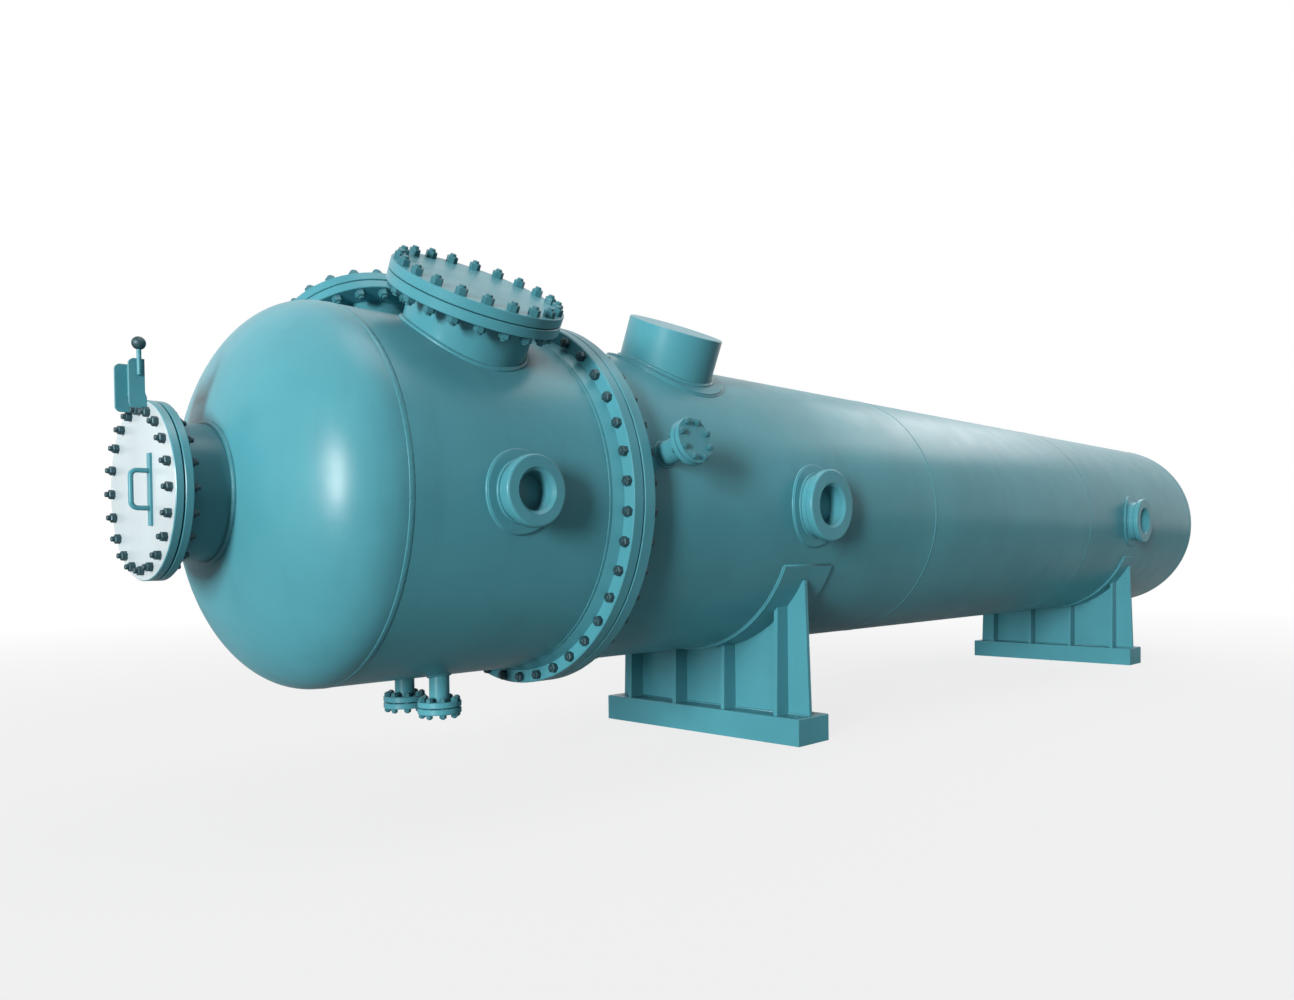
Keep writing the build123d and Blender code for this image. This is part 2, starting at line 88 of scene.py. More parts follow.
class HeaterBolting(bpy.types.PropertyGroup):
    """Sizes of the studs and nuts on the flanged joints."""

    girth_count: IntProperty(
        name="Girth studs",
        description="Studs round the girth joint",
        default=40,
        subtype="UNSIGNED",
    )
    girth_circle: FloatProperty(
        name="Girth bolt circle",
        description="Radius of the girth bolt circle",
        default=0.851,
        unit="LENGTH",
    )
    girth_nut: FloatProperty(
        name="Girth nut", description="Girth nut across its flats", default=0.042, unit="LENGTH"
    )
    girth_nut_share: FloatProperty(
        name="Girth nut share",
        description="Height of a girth nut over its width",
        default=0.62,
        min=0.0,
        max=1.0,
        subtype="FACTOR",
    )
    girth_end: FloatProperty(
        name="Girth stud end", description="Girth stud past its nut", default=0.006, unit="LENGTH"
    )
    girth_flange: FloatProperty(
        name="Girth flange",
        description="Thickness of the girth flange",
        default=0.062,
        unit="LENGTH",
    )
    girth_sheet: FloatProperty(
        name="Tube sheet",
        description="Thickness of the tube sheet's rim",
        default=0.068,
        unit="LENGTH",
    )
    manway_count: IntProperty(
        name="Manway studs",
        description="Studs round the manway cover",
        default=20,
        subtype="UNSIGNED",
    )
    manway_circle: FloatProperty(
        name="Manway bolt circle",
        description="Radius of the manway bolt circle",
        default=0.296,
        unit="LENGTH",
    )
    manway_nut: FloatProperty(
        name="Manway nut", description="Manway nut across its flats", default=0.032, unit="LENGTH"
    )
    manway_nut_share: FloatProperty(
        name="Manway nut share",
        description="Height of a manway nut over its width",
        default=0.66,
        min=0.0,
        max=1.0,
        subtype="FACTOR",
    )
    manway_end: FloatProperty(
        name="Manway stud end", description="Manway stud past its nut", default=0.012, unit="LENGTH"
    )
    manway_grip: FloatProperty(
        name="Manway grip",
        description="Cover's face to the flange's back",
        default=0.064,
        unit="LENGTH",
    )
    water_count: IntProperty(
        name="Water nozzle studs",
        description="Studs on each water nozzle",
        default=20,
        subtype="UNSIGNED",
    )
    water_circle: FloatProperty(
        name="Water bolt circle",
        description="Radius of a water bolt circle",
        default=0.336,
        unit="LENGTH",
    )
    water_nut: FloatProperty(
        name="Water nozzle nut",
        description="Water nozzle nut across its flats",
        default=0.043,
        unit="LENGTH",
    )
    water_nut_share: FloatProperty(
        name="Water nut share",
        description="Height of a water nut over its width",
        default=0.66,
        min=0.0,
        max=1.0,
        subtype="FACTOR",
    )
    water_end: FloatProperty(
        name="Water stud end",
        description="Water nozzle stud past its nut",
        default=0.010,
        unit="LENGTH",
    )
    water_cover: FloatProperty(
        name="Water cover",
        description="Thickness of a water nozzle's cover",
        default=0.042,
        unit="LENGTH",
    )
    water_grip: FloatProperty(
        name="Water nozzle grip",
        description="Cover's top to the flange's back",
        default=0.088,
        unit="LENGTH",
    )
    small_count: IntProperty(
        name="Small studs",
        description="Studs on a drain or side nozzle",
        default=8,
        subtype="UNSIGNED",
    )
    small_nut: FloatProperty(
        name="Small nut",
        description="Drain or side nut across its flats",
        default=0.027,
        unit="LENGTH",
    )
    small_nut_share: FloatProperty(
        name="Small nut share",
        description="Height of a small nut over its width",
        default=0.6,
        min=0.0,
        max=1.0,
        subtype="FACTOR",
    )
    small_end: FloatProperty(
        name="Small stud end",
        description="Drain or side stud past its nut",
        default=0.004,
        unit="LENGTH",
    )
    drain_circle: FloatProperty(
        name="Drain bolt circle",
        description="Radius of a drain's bolt circle",
        default=0.077,
        unit="LENGTH",
    )
    drain_grip: FloatProperty(
        name="Drain grip",
        description="Cover's face to the flange's back",
        default=0.056,
        unit="LENGTH",
    )
    side_circle: FloatProperty(
        name="Side bolt circle",
        description="Radius of the side bolt circle",
        default=0.089,
        unit="LENGTH",
    )
    side_cover: FloatProperty(
        name="Side cover",
        description="Thickness of the side nozzle's cover",
        default=0.024,
        unit="LENGTH",
    )
    side_grip: FloatProperty(
        name="Side nozzle grip",
        description="Cover's face to the flange's back",
        default=0.052,
        unit="LENGTH",
    )


class HeaterWelds(bpy.types.PropertyGroup):
    """Sizes of the weld beads and of the necks that they go round."""

    seam_width: FloatProperty(
        name="Seam width", description="Width of a seam bead", default=0.026, unit="LENGTH"
    )
    seam_height: FloatProperty(
        name="Seam height", description="Height of a seam bead", default=0.002, unit="LENGTH"
    )
    fillet: FloatProperty(
        name="Fillet", description="Radius of a large fillet bead", default=0.012, unit="LENGTH"
    )
    small_fillet: FloatProperty(
        name="Small fillet",
        description="Radius of a small fillet bead",
        default=0.008,
        unit="LENGTH",
    )
    manway_neck: FloatProperty(
        name="Manway neck", description="Radius of the manway neck", default=0.265, unit="LENGTH"
    )
    water_neck: FloatProperty(
        name="Water neck",
        description="Radius of a water nozzle's neck",
        default=0.268,
        unit="LENGTH",
    )
    side_neck: FloatProperty(
        name="Side neck",
        description="Radius of the side nozzle's neck",
        default=0.057,
        unit="LENGTH",
    )
    drain_neck: FloatProperty(
        name="Drain neck", description="Radius of a drain's neck", default=0.0445, unit="LENGTH"
    )
    pad: FloatProperty(
        name="Pad", description="Thickness of the curved pads", default=0.0123, unit="LENGTH"
    )
    trunnion_lip: FloatProperty(
        name="Trunnion lip",
        description="Ring's overhang on a trunnion tube",
        default=0.024,
        unit="LENGTH",
    )
    head_skirt: FloatProperty(
        name="Head skirt",
        description="Straight part of a dished head",
        default=0.025,
        unit="LENGTH",
    )
    wear_angle: FloatProperty(
        name="Wear plate",
        description="Half of a wear plate's arc",
        default=radians(66),
        subtype="ANGLE",
    )


class HeaterFinish(bpy.types.PropertyGroup):
    """Colours and gloss of the finishes."""

    paint: FloatVectorProperty(
        name="Paint",
        description="Semi-gloss machine paint",
        default=(0.052, 0.215, 0.262),
        subtype="COLOR",
    )
    cover_paint: FloatVectorProperty(
        name="Cover paint",
        description="Pale manway cover",
        default=(0.36, 0.425, 0.45),
        subtype="COLOR",
    )
    nut_steel: FloatVectorProperty(
        name="Nut steel",
        description="Dark oiled steel",
        default=(0.012, 0.040, 0.050),
        subtype="COLOR",
    )
    gasket_sheet: FloatVectorProperty(
        name="Joint sheet",
        description="Dark joint sheet",
        default=(0.012, 0.014, 0.014),
        subtype="COLOR",
    )
    gasket_fibre: FloatVectorProperty(
        name="Joint fibre",
        description="Paler fibres in it",
        default=(0.035, 0.038, 0.038),
        subtype="COLOR",
    )
    dust: FloatVectorProperty(
        name="Dust", description="Dust on top surfaces", default=(0.40, 0.50, 0.50), subtype="COLOR"
    )
    # Painted shade: the painted nuts get a darker share of the vessel's paint, for the shade that
    # they sit in
    nut_painted_shade: FloatProperty(
        name="Nut shade",
        description="Painted nuts against the vessel's paint",
        default=0.6,
        min=0.0,
        max=1.0,
        subtype="FACTOR",
    )
    weld_shade: FloatProperty(
        name="Weld shade",
        description="Painted welds against the vessel's paint",
        default=0.92,
        min=0.0,
        max=1.0,
        subtype="FACTOR",
    )
    gloss: FloatProperty(
        name="Gloss",
        description="Specular level of the vessel's paint",
        default=0.22,
        min=0.0,
        max=1.0,
        subtype="FACTOR",
    )
    small_gloss: FloatProperty(
        name="Small gloss",
        description="Specular level of nuts and welds",
        default=0.18,
        min=0.0,
        max=1.0,
        subtype="FACTOR",
    )
    cover_gloss: FloatProperty(
        name="Cover gloss",
        description="Specular level of the manway cover",
        default=0.4,
        min=0.0,
        max=1.0,
        subtype="FACTOR",
    )


class HeaterStudio(bpy.types.PropertyGroup):
    """Camera, lamps, floor and background."""

    lens: FloatProperty(name="Lens", description="Focal length", default=27.77, unit="CAMERA")
    eye: FloatVectorProperty(
        name="Eye",
        description="Where the camera stands",
        default=(-4.474, -4.020, 1.052),
        subtype="XYZ_LENGTH",
    )
    heading: FloatProperty(
        name="Heading",
        description="From straight across to along it",
        default=0.8241,
        subtype="ANGLE",
    )
    pitch: FloatProperty(
        name="Pitch", description="Tilt above level", default=-0.021, subtype="ANGLE"
    )
    roll: FloatProperty(
        name="Roll", description="Roll of the camera", default=-0.0109, subtype="ANGLE"
    )
    shift: FloatVectorProperty(
        name="Shift",
        description="Lens shift, as a share of the frame",
        default=(-0.0369, 0.0583),
        size=2,
    )
    key_place: FloatVectorProperty(
        name="Key lamp",
        description="Off the water box end",
        default=(-34.0, -12.5, 6.0),
        subtype="XYZ_LENGTH",
    )
    key_aim: FloatVectorProperty(
        name="Key aim",
        description="What the key lamp faces",
        default=(-1.0, 0.0, 1.2),
        subtype="XYZ_LENGTH",
    )
    key_size: FloatVectorProperty(
        name="Key size",
        description="Width and height of the key lamp",
        default=(5.5, 13.0),
        size=2,
        unit="LENGTH",
    )
    key_power: FloatProperty(
        name="Key power", description="Power of the key lamp", default=21500.0, unit="POWER"
    )
    top_place: FloatVectorProperty(
        name="Top lamp",
        description="Over the water box",
        default=(0.0, -1.0, 8.0),
        subtype="XYZ_LENGTH",
    )
    top_aim: FloatVectorProperty(
        name="Top aim",
        description="What the top lamp faces",
        default=(0.0, 0.0, 1.3),
        subtype="XYZ_LENGTH",
    )
    top_size: FloatVectorProperty(
        name="Top size",
        description="Width and depth of the top lamp",
        default=(7.0, 3.0),
        size=2,
        unit="LENGTH",
    )
    top_power: FloatProperty(
        name="Top power", description="Power of the top lamp", default=260.0, unit="POWER"
    )
    tail_place: FloatVectorProperty(
        name="Tail lamp",
        description="Beyond the tail head",
        default=(9.8, -0.4, 6.4),
        subtype="XYZ_LENGTH",
    )
    tail_aim: FloatVectorProperty(
        name="Tail aim",
        description="What the tail lamp faces",
        default=(9.8, -0.4, 0.0),
        subtype="XYZ_LENGTH",
    )
    tail_size: FloatVectorProperty(
        name="Tail size",
        description="Width and depth of the tail lamp",
        default=(5.0, 5.5),
        size=2,
        unit="LENGTH",
    )
    tail_power: FloatProperty(
        name="Tail power", description="Power of the tail lamp", default=270.0, unit="POWER"
    )
    lamp_colour: FloatVectorProperty(
        name="Lamp colour",
        description="Light of the lamps",
        default=(1.0, 0.99, 0.97),
        subtype="COLOR",
    )
    fill_colour: FloatVectorProperty(
        name="Fill colour",
        description="Light from all round",
        default=(0.94, 0.98, 1.0),
        subtype="COLOR",
    )
    fill: FloatProperty(
        name="Fill",
        description="Strength of the light from the near side",
        default=0.20,
        min=0.0,
        max=1.0,
        subtype="FACTOR",
    )
    back_fill: FloatProperty(
        name="Back fill",
        description="Strength of the light from behind",
        default=0.9,
        min=0.0,
        max=1.0,
        subtype="FACTOR",
    )
    floor_half: FloatProperty(
        name="Floor", description="Half of the floor's width", default=80.0, unit="LENGTH"
    )
    floor_paint: FloatVectorProperty(
        name="Floor paint",
        description="Colour that takes the shadow",
        default=(0.30, 0.31, 0.31),
        subtype="COLOR",
    )
    floor_glow: FloatProperty(
        name="Floor glow",
        description="Share of plain white near the heater",
        default=0.80,
        min=0.0,
        max=1.0,
        subtype="FACTOR",
    )
    floor_mirrored: FloatProperty(
        name="Floor in gloss",
        description="Share of that white in reflections",
        default=0.06,
        min=0.0,
        max=1.0,
        subtype="FACTOR",
    )
    fade_from: FloatProperty(
        name="Fade from",
        description="Where the floor starts to turn white",
        default=4.0,
        unit="LENGTH",
    )
    fade_to: FloatProperty(
        name="Fade to", description="Where the floor is plain white", default=14.0, unit="LENGTH"
    )


def settings(name):
    """One of the property groups."""
    return getattr(bpy.context.scene, name)


# Places


def middle(name):
    """Middle of a node's box."""
    low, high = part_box(name)
    return (low + high) / 2


def half_length(name):
    """Radius of a round piece that stands across the vessel: half of its box's length."""
    low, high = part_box(name)
    return (high.x - low.x) / 2


def branch(x, lean, reach):
    """Frame of a branch that leans from straight up to the near side, its Z pointing out."""
    foot = Matrix.Translation((x, 0, AXIS_Z)) @ Matrix.Rotation(lean, 4, "X")
    return foot @ Matrix.Translation((0, 0, reach))


def lean_of(name):
    """Lean of the branch that a round cover closes."""
    spot = middle(name)
    return atan2(-spot.y, spot.z - AXIS_Z)


def branch_at(name, beyond):
    """Frame of the branch that a round cover closes, a distance beyond the cover's middle."""
    spot = middle(name)
    return branch(spot.x, lean_of(name), hypot(spot.y, spot.z - AXIS_Z) + beyond)


def drain_at(name, z):
    """Frame under a drain, its Z pointing down."""
    spot = middle(name)
    return Matrix.Translation((spot.x, spot.y, z)) @ Matrix.Rotation(pi, 4, "X")


def along(x, sign):
    """Frame on the vessel axis, its Z pointing to the tail (1) or to the water box (-1)."""
    return Matrix.Translation((x, 0, AXIS_Z)) @ Matrix.Rotation(sign * pi / 2, 4, "Y")


# Pieces


def new_piece(name, bm, material):
    """Turns a finished bmesh into a piece that rides on the heater."""
    bmesh.ops.recalc_face_normals(bm, faces=bm.faces)
    mesh = bpy.data.meshes.new(name)
    bm.to_mesh(mesh)
    bm.free()
    piece = bpy.data.objects.new(name, mesh)
    bpy.context.scene.collection.objects.link(piece)
    mesh.materials.append(bpy.data.materials[material])
    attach(piece, "root")
    return piece


def put(bm, part, place):
    """Adds a small bmesh to a piece at a place, and frees it."""
    bmesh.ops.transform(part, matrix=place, verts=part.verts)
    mesh = bpy.data.meshes.new("part")
    part.to_mesh(mesh)
    part.free()
    bm.from_mesh(mesh)
    bpy.data.meshes.remove(mesh)


def add_bar(bm, sides, radius, length, place):
    """Adds a straight bar along its place's Z, with both ends closed."""
    return bmesh.ops.create_cone(
        bm,
        cap_ends=True,
        segments=sides,
        radius1=radius,
        radius2=radius,
        depth=length,
        matrix=place,
    )


# Bolting


def bevel_rims(bm, made, heights, offset):
    """Bevels the level edges of a new round or hexagon piece at the given heights."""
    slack = offset / 10
    rims = {
        e
        for v in made["verts"]
        for e in v.link_edges
        if any(all(abs(w.co.z - z) < slack for w in e.verts) for z in heights)
    }
    bmesh.ops.bevel(
        bm, geom=list(rims), offset=offset, segments=1, profile=0.5, affect="EDGES", material=-1
    )


def add_nut(bm, flats, height, base, facing):
    """A hexagon nut on a face at height base, with its outer edges bevelled."""
    corner = flats / 2 / cos(pi / NUT_SIDES)
    spot = Matrix.Translation((0, 0, base + facing * height / 2))
    made = add_bar(bm, NUT_SIDES, corner, height, spot)
    bevel_rims(bm, made, [base + facing * height], flats * NUT_BEVEL)


def stud_template(flats, grip, nut_share, end):
    """A stud with a nut at each end: the outer face is at zero and the inner one a grip below."""
    bm = bmesh.new()
    height = flats * nut_share
    add_nut(bm, flats, height, 0, 1)
    add_nut(bm, flats, height, -grip, -1)
    radius = flats * STUD_RADIUS
    top, bottom = height + end, -grip - height - end
    spot = Matrix.Translation((0, 0, -grip / 2))
    made = add_bar(bm, STUD_SIDES, radius, top - bottom, spot)
    bevel_rims(bm, made, [top, bottom], flats * STUD_BEVEL)
    mesh = bpy.data.meshes.new("stud")
    bm.to_mesh(mesh)
    bm.free()
    return mesh


def ring_of_studs(bm, template, place, radius, count, first):
    """Puts a ring of studs on a joint, each with its nuts turned a little differently."""
    for i in range(count):
        stud = template.copy()
        round_joint = Matrix.Rotation(first + 2 * pi * i / count, 4, "Z")
        turn = Matrix.Rotation(radians(i * NUT_TURN % (360 / NUT_SIDES)), 4, "Z")
        stud.transform(place @ round_joint @ Matrix.Translation((radius, 0, 0)) @ turn)
        bm.from_mesh(stud)
        bpy.data.meshes.remove(stud)


class HEATER_OT_girth_studs(bpy.types.Operator):
    """Studs and nuts round the girth joint"""

    bl_idname = "heater.girth_studs"
    bl_label = "Girth studs"

    def execute(self, context):
        size = settings("heater_bolting")
        low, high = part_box("girth_gasket")
        back = low.x - size.girth_flange
        grip = high.x + size.girth_sheet - back
        first = pi / size.girth_count
        bm = bmesh.new()
        template = stud_template(size.girth_nut, grip, size.girth_nut_share, size.girth_end)
        ring_of_studs(bm, template, along(back, -1), size.girth_circle, size.girth_count, first)
        bpy.data.meshes.remove(template)
        new_piece("girth_studs", bm, "nut_steel")
        return {"FINISHED"}


class HEATER_OT_manway_studs(bpy.types.Operator):
    """Studs and nuts round the manway cover"""

    bl_idname = "heater.manway_studs"
    bl_label = "Manway studs"

    def execute(self, context):
        size = settings("heater_bolting")
        bm = bmesh.new()
        template = stud_template(
            size.manway_nut, size.manway_grip, size.manway_nut_share, size.manway_end
        )
        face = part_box("manway_cover")[0].x
        ring_of_studs(bm, template, along(face, -1), size.manway_circle, size.manway_count, 0)
        bpy.data.meshes.remove(template)
        new_piece("manway_studs", bm, "nut_steel")
        return {"FINISHED"}


class HEATER_OT_water_studs(bpy.types.Operator):
    """Studs and nuts on the two water nozzles"""

    bl_idname = "heater.water_studs"
    bl_label = "Water nozzle studs"

    def execute(self, context):
        size = settings("heater_bolting")
        first = pi / size.water_count
        template = stud_template(
            size.water_nut, size.water_grip, size.water_nut_share, size.water_end
        )
        for side in ("near", "far"):
            bm = bmesh.new()
            place = branch_at("water_cover_" + side, size.water_cover / 2)
            ring_of_studs(bm, template, place, size.water_circle, size.water_count, first)
            new_piece("water_studs_" + side, bm, "nut_paint")
        bpy.data.meshes.remove(template)
        return {"FINISHED"}


class HEATER_OT_small_studs(bpy.types.Operator):
    """Studs and nuts on the drains and the side nozzle"""

    bl_idname = "heater.small_studs"
    bl_label = "Drain and side studs"

    def execute(self, context):
        size = settings("heater_bolting")
        first = pi / size.small_count
        bm = bmesh.new()
        template = stud_template(
            size.small_nut, size.drain_grip, size.small_nut_share, size.small_end
        )
        for name in ("drain_cover_near", "drain_cover_far"):
            place = drain_at(name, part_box(name)[0].z)
            ring_of_studs(bm, template, place, size.drain_circle, size.small_count, first)
        bpy.data.meshes.remove(template)
        new_piece("drain_studs", bm, "nut_paint")

        bm = bmesh.new()
        template = stud_template(
            size.small_nut, size.side_grip, size.small_nut_share, size.small_end
        )
        place = branch_at("side_cover", size.side_cover / 2)
        ring_of_studs(bm, template, place, size.side_circle, size.small_count, first)
        bpy.data.meshes.remove(template)
        new_piece("side_studs", bm, "nut_paint")
        return {"FINISHED"}


# Weld beads


def bead_section(wide, high, spot, capped):
    """A new bmesh with a bead's flattened round section, standing across the local Y."""
    bm = bmesh.new()
    made = bmesh.ops.create_circle(bm, cap_ends=capped, segments=BEAD_SIDES, radius=1)
    shape = Matrix.Diagonal((wide, 1, high, 1)) @ Matrix.Rotation(pi / 2, 4, "X")
    bmesh.ops.transform(bm, matrix=Matrix.Translation(spot) @ shape, verts=made["verts"])
    return bm


def bead_ring(bm, place, radius, wide, high, steps, lift=None):
    """A weld bead round a branch; lift gives the height of the wall that the bead follows."""
    bead = bead_section(wide, high, (radius, 0, 0), False)
    section = bead.verts[:] + bead.edges[:]
    bmesh.ops.spin(
        bead,
        geom=section,
        cent=(0, 0, 0),
        axis=(0, 0, 1),
        angle=2 * pi,
        steps=steps,
        use_merge=True,
    )
    if lift:
        for v in bead.verts:
            v.co.z += lift(v.co)
    put(bm, bead, place)


def fillet_ring(bm, place, neck, fillet, steps, lift=None):
    """A round fillet bead in the corner between a neck and a wall."""
    bead_ring(bm, place, neck + fillet * OFF_NECK, fillet, fillet, steps, lift)


def round_wall(radius, offset=0.0):
    """Height of a round wall over the vessel axis, for a branch at an offset from that axis."""
    return lambda co: sqrt(radius * radius - (co.y - offset) ** 2)


def bead_line(bm, start, end, radius):
    """A straight weld bead."""
    a, b = Vector(start), Vector(end)
    turn = (b - a).to_track_quat("Z", "Y").to_matrix().to_4x4()
    spot = Matrix.Translation((a + b) / 2) @ turn
    add_bar(bm, BEAD_SIDES, radius, (b - a).length, spot)


def new_welds(name, bm):
    """Turns finished beads into a piece of painted weld metal."""
    new_piece(name, bm, "weld_paint").data.shade_smooth()


class HEATER_OT_seam_welds(bpy.types.Operator):
    """Weld beads round the vessel where the courses, hubs and heads meet"""

    bl_idname = "heater.seam_welds"
    bl_label = "Seam welds"

    def execute(self, context):
        size = settings("heater_welds")
        bm = bmesh.new()
        seams = (
            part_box("channel_barrel")[0].x,
            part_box("channel_barrel")[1].x,
            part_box("shell_course_front")[0].x,
            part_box("shell_course_front")[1].x,
            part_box("shell_course_rear")[0].x,
            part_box("tail_head")[0].x,
        )
        for x in seams:
            bead_ring(bm, along(x, 1), SHELL_R, size.seam_height, size.seam_width / 2, SEAM_STEPS)
        new_welds("seam_welds", bm)
        return {"FINISHED"}


class HEATER_OT_branch_welds(bpy.types.Operator):
    """Weld beads where the necks, pads and trunnions meet the vessel"""

    bl_idname = "heater.branch_welds"
    bl_label = "Branch welds"

    def execute(self, context):
        size = settings("heater_welds")
        big, small = size.fillet, size.small_fillet
        shell, pad = round_wall(SHELL_R), round_wall(SHELL_R + size.pad)
        bm = bmesh.new()
        for side in ("near", "far"):
            cover = "water_cover_" + side
            place = branch(middle(cover).x, lean_of(cover), 0)
            fillet_ring(bm, place, size.water_neck, big, NECK_STEPS, shell)
            drain = "drain_cover_" + side
            wall = round_wall(SHELL_R, middle(drain).y)
            fillet_ring(bm, drain_at(drain, AXIS_Z), size.drain_neck, small, DRAIN_STEPS, wall)

        steam = branch(middle("steam_cap").x, lean_of("steam_cap"), 0)
        fillet_ring(bm, steam, half_length("steam_cap"), big, NECK_STEPS, pad)
        bead_ring(bm, steam, half_length("steam_pad"), small, small, NECK_STEPS, shell)
        side_place = branch(middle("side_cover").x, lean_of("side_cover"), 0)
        fillet_ring(bm, side_place, size.side_neck, small, SMALL_NECK_STEPS, shell)

        for station in ("channel", "front", "tail"):
            pads, posts = "trunnion_pads_" + station, "trunnion_posts_" + station
            tube = half_length(posts) - size.trunnion_lip
            for lean in (pi / 2, -pi / 2):
                out = branch(middle(posts).x, lean, 0)
                fillet_ring(bm, out, tube, small, SMALL_NECK_STEPS, pad)
                bead_ring(bm, out, half_length(pads), small, small, SMALL_NECK_STEPS, shell)

        # Both heads are dished alike, so the tail head gives the depth at the manway neck
        tail_low, tail_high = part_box("tail_head")
        depth = tail_high.x - tail_low.x - size.head_skirt
        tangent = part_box("channel_head")[1].x - size.head_skirt
        root = tangent - depth * sqrt(1 - (size.manway_neck / SHELL_R) ** 2)
        fillet_ring(bm, along(root, -1), size.manway_neck, big, NECK_STEPS)
        new_welds("branch_welds", bm)
        return {"FINISHED"}


class HEATER_OT_saddle_welds(bpy.types.Operator):
    """Weld beads round the wear plates and along the feet of the webs"""

    bl_idname = "heater.saddle_welds"
    bl_label = "Saddle welds"

    def execute(self, context):
        size = settings("heater_welds")
        thick, arc = size.small_fillet, size.wear_angle
        bm = bmesh.new()
        for saddle in ("front", "rear"):
            low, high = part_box(saddle + "_wear_plate")
            for x in (low.x, high.x):
                bead = bead_section(thick, thick, (SHELL_R, 0, 0), True)
                section = bead.verts[:] + bead.edges[:] + bead.faces[:]
                bmesh.ops.spin(
                    bead,
                    geom=section,
                    cent=(0, 0, 0),
                    axis=(0, 0, 1),
                    angle=2 * arc,
                    steps=WEAR_STEPS,
                )
                put(bm, bead, along(x, 1) @ Matrix.Rotation(-arc, 4, "Z"))
            for turn in (-arc, arc):
                y, z = SHELL_R * sin(turn), AXIS_Z - SHELL_R * cos(turn)
                bead_line(bm, (low.x, y, z), (high.x, y, z), thick)
            low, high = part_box(saddle + "_web")
            for x in (low.x, high.x):
                bead_line(bm, (x, low.y + thick, low.z), (x, high.y - thick, low.z), thick)
        new_welds("saddle_welds", bm)
        return {"FINISHED"}


# Finishes


def link(tree, a, b):
    """Joins one node's output to another's input."""
    tree.links.new(a, b)


def noise(tree, vector, scale, detail, roughness):
    """A noise pattern over a vector."""
    made = tree.nodes.new("ShaderNodeTexNoise")
    made.inputs["Scale"].default_value = scale
    made.inputs["Detail"].default_value = detail
    made.inputs["Roughness"].default_value = roughness
    link(tree, vector, made.inputs["Vector"])
    return made.outputs["Fac"]


def ranged(tree, value, given, wanted):
    """A value brought from the given range to the wanted one, and held inside it."""
    made = tree.nodes.new("ShaderNodeMapRange")
    made.inputs["From Min"].default_value, made.inputs["From Max"].default_value = given
    made.inputs["To Min"].default_value, made.inputs["To Max"].default_value = wanted
    link(tree, value, made.inputs["Value"])
    return made.outputs["Result"]


def joined(tree, operation, a, b):
    """Two values joined by an operation, such as MULTIPLY or MAXIMUM."""
    made = tree.nodes.new("ShaderNodeMath")
    made.operation = operation
    link(tree, a, made.inputs[0])
    link(tree, b, made.inputs[1])
    return made.outputs["Value"]


def scaled(tree, colour, value):
    """A colour made lighter or darker."""
    made = tree.nodes.new("ShaderNodeVectorMath")
    made.operation = "SCALE"
    link(tree, colour, made.inputs[0])
    link(tree, value, made.inputs["Scale"])
    return made.outputs["Vector"]


def colour_mix(tree, mask):
    """A node that lays one colour over another by a mask."""
    made = tree.nodes.new("ShaderNodeMix")
    made.data_type = "RGBA"
    link(tree, mask, made.inputs["Factor"])
    return made


def shaded(colour, share):
    """A lighter or darker share of a colour."""
    return [c * share for c in colour]


